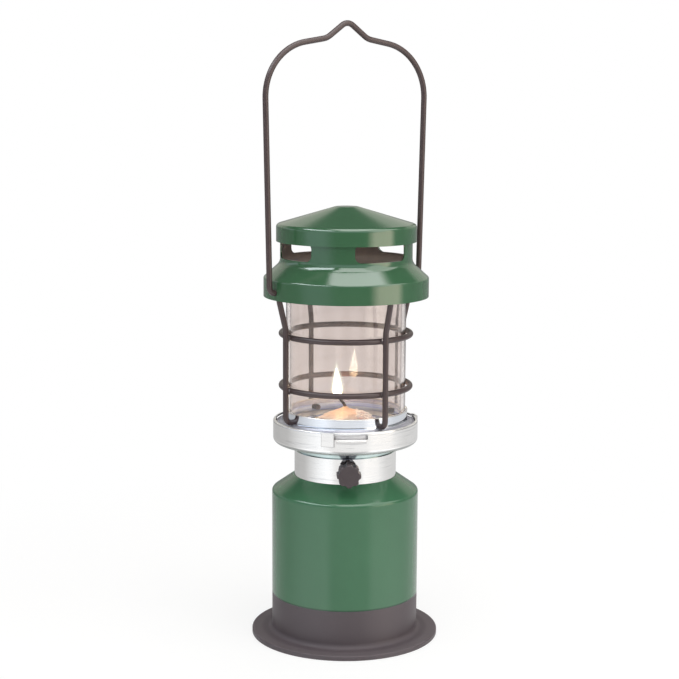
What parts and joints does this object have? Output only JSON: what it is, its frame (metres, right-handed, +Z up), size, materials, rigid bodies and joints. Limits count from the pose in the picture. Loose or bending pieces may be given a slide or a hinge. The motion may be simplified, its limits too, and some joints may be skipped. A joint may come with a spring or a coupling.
{
  "type": "candle lantern",
  "caption": "Free-standing candle lantern: green drum on a dark flanged foot, bright burner cup, glass globe in a wire guard, vented hood and a swinging wire bail with a hang notch.",
  "frame": {"origin": "on the lantern's axis at the underside of the foot", "axes": "+Z up along the axis; X along the bail's pivots; the thumb knob and the pictured side face -Y, turned towards -X"},
  "size_m": [0.1006, 0.0996, 0.3245],
  "materials": {
    "green_paint": "smooth gloss enamel, deep green",
    "foot_plastic": "fine satin texture, dark warm grey",
    "bright_steel": "bright turned sheet steel",
    "dark_wire": "dark brown-black coated wire",
    "clear_glass": "clear, faintly warm",
    "knob_plastic": "satin moulded plastic, dark warm grey",
    "candle_foil": "thin drawn foil",
    "candle_wax": "cream wax, warm at the wick",
    "wick_cotton": "charred cotton"
  },
  "bodies": {
    "base": {"foot": "foot_plastic", "body_shell": "green_paint", "neck_sleeve": "bright_steel", "clamp_nut": "bright_steel", "burner_cup": "bright_steel", "candle_pan": "bright_steel"},
    "knob": {"knob": "knob_plastic", "knob_screw": "bright_steel"},
    "candle": {"candle_tin": "candle_foil", "candle_wax": "candle_wax", "wick": "wick_cotton", "wick_tab": "bright_steel"},
    "top": {"gallery": "bright_steel", "globe": "clear_glass", "guard_ring_lower": "dark_wire", "guard_ring_upper": "dark_wire", "guard_upright_left": "dark_wire", "guard_upright_right": "dark_wire", "guard_upright_front": "dark_wire", "guard_upright_back": "dark_wire", "vent_hood": "green_paint", "roof_cap": "green_paint"},
    "bail": {"bail": "dark_wire"}
  },
  "joints": [
    {"name": "top_lift", "type": "slide", "parent": "base", "child": "top", "axis": [0, 0, 1], "range_m": [0, 0.06]},
    {"name": "bail_swing", "type": "hinge", "parent": "top", "child": "bail", "pos_m": [0, 0, 0.1865], "axis": [1, 0, 0], "range_deg": [-160, 160]},
    {"name": "knob_turn", "type": "hinge", "parent": "base", "child": "knob", "pos_m": [-0.015, -0.02598, 0.0937], "axis": [-0.5, -0.866, 0], "range_deg": [0, 540]},
    {"name": "candle_lift", "type": "slide", "parent": "base", "child": "candle", "axis": [0, 0, 1], "range_m": [0, 0.03]}
  ]
}
